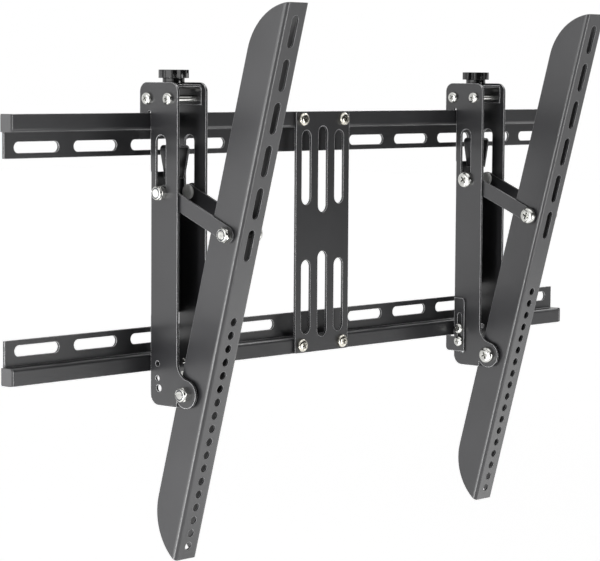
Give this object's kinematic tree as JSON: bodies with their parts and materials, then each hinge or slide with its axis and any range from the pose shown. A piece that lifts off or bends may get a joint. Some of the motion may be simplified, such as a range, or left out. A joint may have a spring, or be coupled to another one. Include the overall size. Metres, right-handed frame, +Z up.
{
  "type": "tilting tv wall mount",
  "caption": "Two slotted wall rails joined by a centre plate, with hook-on brackets whose linked arms tilt a flat screen; knobs on top set the tilt and latch plates lock the brackets.",
  "frame": {"origin": "middle of the wall face, half way between the two rails and their ends", "axes": "+X along the rails to the right as seen from the room, +Y into the wall, +Z up; the wall is Y = 0"},
  "size_m": [0.8248, 0.1817, 0.5206],
  "materials": {
    "powder_coated_steel": "satin black powder coat",
    "zinc_plated_steel": "bright zinc plating",
    "knob_plastic": "semi-gloss black moulded plastic",
    "cap_plastic": "matt black moulded plastic"
  },
  "bodies": {
    "wall_frame": {"upper_rail": "powder_coated_steel", "lower_rail": "powder_coated_steel", "centre_plate": "powder_coated_steel", "centre_plate_screws": "zinc_plated_steel", "centre_plate_nuts": "zinc_plated_steel", "upper_left_end_cap": "cap_plastic", "upper_right_end_cap": "cap_plastic", "lower_left_end_cap": "cap_plastic", "lower_right_end_cap": "cap_plastic"},
    "left_hanger": {"left_bracket": "powder_coated_steel", "left_bridge": "powder_coated_steel", "left_spacer_rods": "zinc_plated_steel", "left_bridge_screws": "zinc_plated_steel", "left_pivot_bolt": "zinc_plated_steel", "left_pivot_nut": "zinc_plated_steel", "left_pivot_spacers": "zinc_plated_steel", "left_latch_screws": "zinc_plated_steel"},
    "left_tilting_arm": {"left_arm": "powder_coated_steel", "left_link_bolt": "zinc_plated_steel", "left_link_nut": "zinc_plated_steel"},
    "left_links": {"left_link_a": "powder_coated_steel", "left_link_b": "powder_coated_steel", "left_slot_bolts": "zinc_plated_steel", "left_slot_nuts": "zinc_plated_steel"},
    "left_carriage": {"left_tilt_carriage": "powder_coated_steel"},
    "left_hand_knob": {"left_knob": "knob_plastic", "left_adjusting_screw": "zinc_plated_steel", "left_stem_nut": "zinc_plated_steel"},
    "left_latch": {"left_latch_plate": "powder_coated_steel"},
    "right_hanger": {"right_bracket": "powder_coated_steel", "right_bridge": "powder_coated_steel", "right_spacer_rods": "zinc_plated_steel", "right_bridge_screws": "zinc_plated_steel", "right_pivot_bolt": "zinc_plated_steel", "right_pivot_nut": "zinc_plated_steel", "right_pivot_spacers": "zinc_plated_steel", "right_latch_screws": "zinc_plated_steel"},
    "right_tilting_arm": {"right_arm": "powder_coated_steel", "right_link_bolt": "zinc_plated_steel", "right_link_nut": "zinc_plated_steel"},
    "right_links": {"right_link_a": "powder_coated_steel", "right_link_b": "powder_coated_steel", "right_slot_bolts": "zinc_plated_steel", "right_slot_nuts": "zinc_plated_steel"},
    "right_carriage": {"right_tilt_carriage": "powder_coated_steel"},
    "right_hand_knob": {"right_knob": "knob_plastic", "right_adjusting_screw": "zinc_plated_steel", "right_stem_nut": "zinc_plated_steel"},
    "right_latch": {"right_latch_plate": "powder_coated_steel"}
  },
  "joints": [
    {"name": "left_bracket_slide", "type": "slide", "parent": "wall_frame", "child": "left_hanger", "axis": [1, 0, 0], "range_m": [-0.155, 0.15]},
    {"name": "left_arm_tilt", "type": "hinge", "parent": "left_hanger", "child": "left_tilting_arm", "pos_m": [-0.2207, -0.0609, -0.1392], "axis": [-1, 0, 0], "range_deg": [0, 13]},
    {"name": "left_link_swing", "type": "hinge", "parent": "left_tilting_arm", "child": "left_links", "pos_m": [-0.2207, -0.1111, 0.0116], "axis": [1, 0, 0], "range_deg": [0, 48.21]},
    {"name": "left_carriage_slide", "type": "slide", "parent": "left_hanger", "child": "left_carriage", "axis": [0, 0, 1], "range_m": [0, 0.048]},
    {"name": "left_knob_turn", "type": "hinge", "parent": "left_hanger", "child": "left_hand_knob", "pos_m": [-0.2207, -0.0248, 0.15], "axis": [0, 0, 1], "continuous": true},
    {"name": "left_latch_slide", "type": "slide", "parent": "left_hanger", "child": "left_latch", "axis": [0, 0, 1], "range_m": [-0.013, 0]},
    {"name": "right_bracket_slide", "type": "slide", "parent": "wall_frame", "child": "right_hanger", "axis": [1, 0, 0], "range_m": [-0.168, 0.138]},
    {"name": "right_arm_tilt", "type": "hinge", "parent": "right_hanger", "child": "right_tilting_arm", "pos_m": [0.2373, -0.0609, -0.1392], "axis": [-1, 0, 0], "range_deg": [0, 13]},
    {"name": "right_link_swing", "type": "hinge", "parent": "right_tilting_arm", "child": "right_links", "pos_m": [0.2373, -0.1111, 0.0116], "axis": [1, 0, 0], "range_deg": [0, 48.21]},
    {"name": "right_carriage_slide", "type": "slide", "parent": "right_hanger", "child": "right_carriage", "axis": [0, 0, 1], "range_m": [0, 0.048]},
    {"name": "right_knob_turn", "type": "hinge", "parent": "right_hanger", "child": "right_hand_knob", "pos_m": [0.2373, -0.0248, 0.15], "axis": [0, 0, 1], "continuous": true},
    {"name": "right_latch_slide", "type": "slide", "parent": "right_hanger", "child": "right_latch", "axis": [0, 0, 1], "range_m": [-0.013, 0]}
  ],
  "couplings": [
    {"joint": "left_link_swing", "follows": "left_arm_tilt", "ratio": 3.708},
    {"joint": "left_carriage_slide", "follows": "left_arm_tilt", "m_per_rad": 0.2114},
    {"joint": "right_link_swing", "follows": "right_arm_tilt", "ratio": 3.708},
    {"joint": "right_carriage_slide", "follows": "right_arm_tilt", "m_per_rad": 0.2114}
  ]
}
